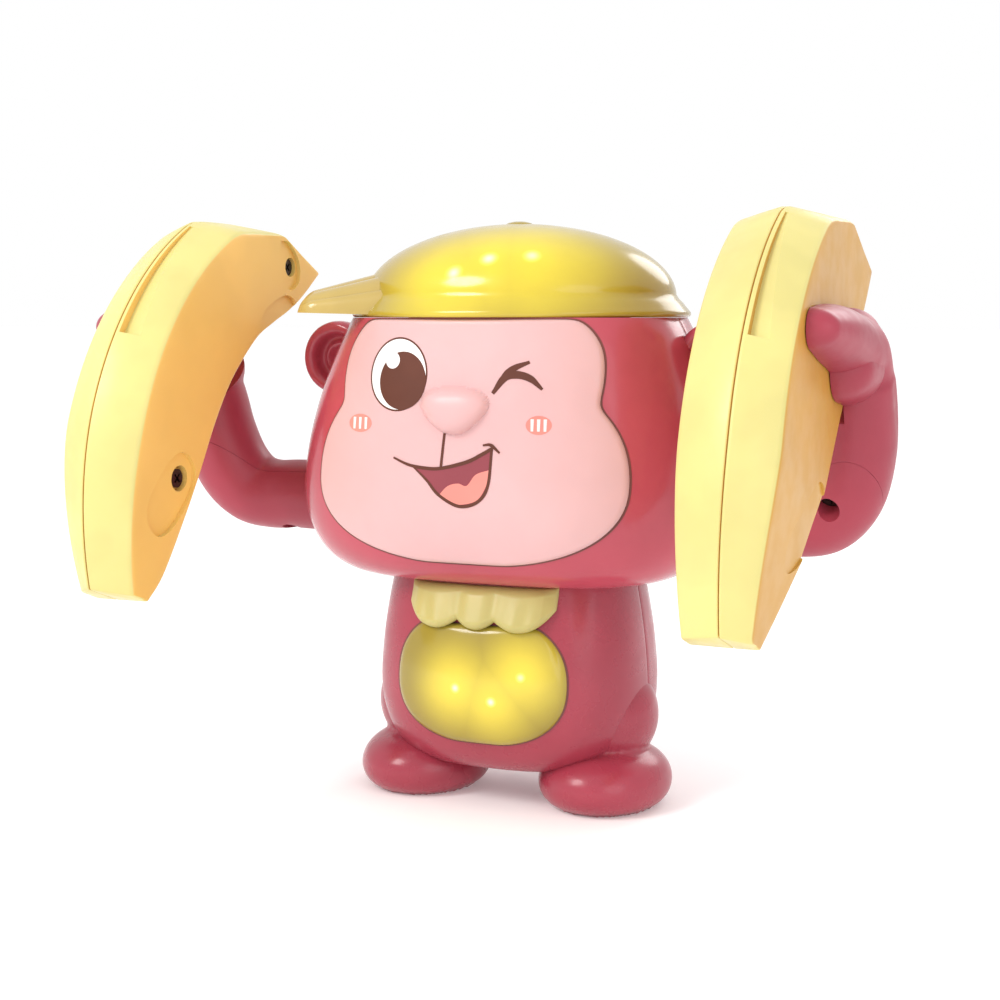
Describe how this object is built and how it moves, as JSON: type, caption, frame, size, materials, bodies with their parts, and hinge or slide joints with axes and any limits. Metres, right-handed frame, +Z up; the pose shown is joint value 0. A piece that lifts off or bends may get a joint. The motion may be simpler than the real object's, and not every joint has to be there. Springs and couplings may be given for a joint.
{
  "type": "tumbling toy monkey",
  "caption": "Battery toy monkey in a cap and bow tie; bananas held on continuously turning arms lift it and tip it over, driven by a geared motor in the head.",
  "frame": {"origin": "on the floor under the middle of the whole toy, arms at rest", "axes": "+Z up, the face looks along -Y, the arm axle runs along X"},
  "size_m": [0.22, 0.132, 0.165],
  "materials": {
    "rose_plastic": "glossy moulded shell, dusky rose",
    "face_plastic": "glossy pale pink, printed eyes and mouth",
    "cap_plastic": "translucent gold, moulded",
    "brim_plastic": "pearly gold, ribbed",
    "lens_plastic": "translucent yellow",
    "bow_plastic": "pale yellow, moulded",
    "banana_inner_plastic": "satin warm yellow",
    "banana_outer_plastic": "satin lemon yellow",
    "steel": "zinc plated",
    "motor_can": "motor, mean density of can, magnets and windings",
    "cell_jacket": "plain printed jacket, mean density of an AA cell",
    "circuit_board": "green solder mask",
    "led_plastic": "clear warm LED",
    "white_plastic": "natural acetal",
    "black_plastic": "black moulding",
    "speaker_cone": "paper cone and frame"
  },
  "bodies": {
    "torso": {"head_front_shell": "rose_plastic", "head_back_shell": "rose_plastic", "left_ear": "rose_plastic", "right_ear": "rose_plastic", "body_front_shell": "rose_plastic", "body_back_shell": "rose_plastic", "left_leg": "rose_plastic", "right_leg": "rose_plastic", "battery_door": "rose_plastic", "face_plate": "face_plastic", "cap_dome": "cap_plastic", "cap_brim": "brim_plastic", "cap_button": "brim_plastic", "belly_lens": "lens_plastic", "bow_tie": "bow_plastic", "battery_contacts": "steel", "battery_springs": "steel", "gear_pins": "steel", "head_screws": "steel", "body_screws": "steel", "neck_screws": "steel", "door_screw": "steel", "leg_screws": "steel", "gearbox_screws": "steel", "motor": "motor_can", "batteries": "cell_jacket", "cap_led_board": "circuit_board", "belly_led_board": "circuit_board", "main_board": "circuit_board", "cap_leds": "led_plastic", "belly_leds": "led_plastic", "gearbox_left_plate": "white_plastic", "gearbox_right_plate": "white_plastic", "gearbox_posts": "white_plastic", "axle_bushes": "white_plastic", "battery_box": "black_plastic", "switch_housing": "black_plastic", "speaker": "speaker_cone"},
    "arms": {"drive_axle": "steel", "output_gear": "white_plastic", "left_arm_front_shell": "rose_plastic", "left_arm_back_shell": "rose_plastic", "right_arm_front_shell": "rose_plastic", "right_arm_back_shell": "rose_plastic", "left_banana_inner": "banana_inner_plastic", "left_banana_outer": "banana_outer_plastic", "right_banana_inner": "banana_inner_plastic", "right_banana_outer": "banana_outer_plastic", "arm_screws": "steel", "banana_screws": "steel", "hand_screws": "steel"},
    "second_gear": {"second_gear": "white_plastic"},
    "first_gear": {"first_gear": "white_plastic"},
    "motor_rotor": {"motor_pinion": "white_plastic"},
    "power_switch": {"power_switch": "black_plastic"}
  },
  "joints": [
    {"name": "arms_turn", "type": "hinge", "parent": "torso", "child": "arms", "pos_m": [0, 0.024, 0.083], "axis": [1, 0, 0], "continuous": true},
    {"name": "second_gear_turn", "type": "hinge", "parent": "torso", "child": "second_gear", "pos_m": [0.012, 0.033, 0.095], "axis": [1, 0, 0], "continuous": true},
    {"name": "first_gear_turn", "type": "hinge", "parent": "torso", "child": "first_gear", "pos_m": [0.007, 0.042, 0.107], "axis": [1, 0, 0], "continuous": true},
    {"name": "motor_turn", "type": "hinge", "parent": "torso", "child": "motor_rotor", "pos_m": [0.003, 0.033, 0.119], "axis": [1, 0, 0], "continuous": true},
    {"name": "power_switch_slide", "type": "slide", "parent": "torso", "child": "power_switch", "axis": [1, 0, 0], "range_m": [0, 0.004]}
  ],
  "couplings": [
    {"joint": "second_gear_turn", "follows": "arms_turn", "ratio": -4},
    {"joint": "first_gear_turn", "follows": "arms_turn", "ratio": 16},
    {"joint": "motor_turn", "follows": "arms_turn", "ratio": -64}
  ]
}
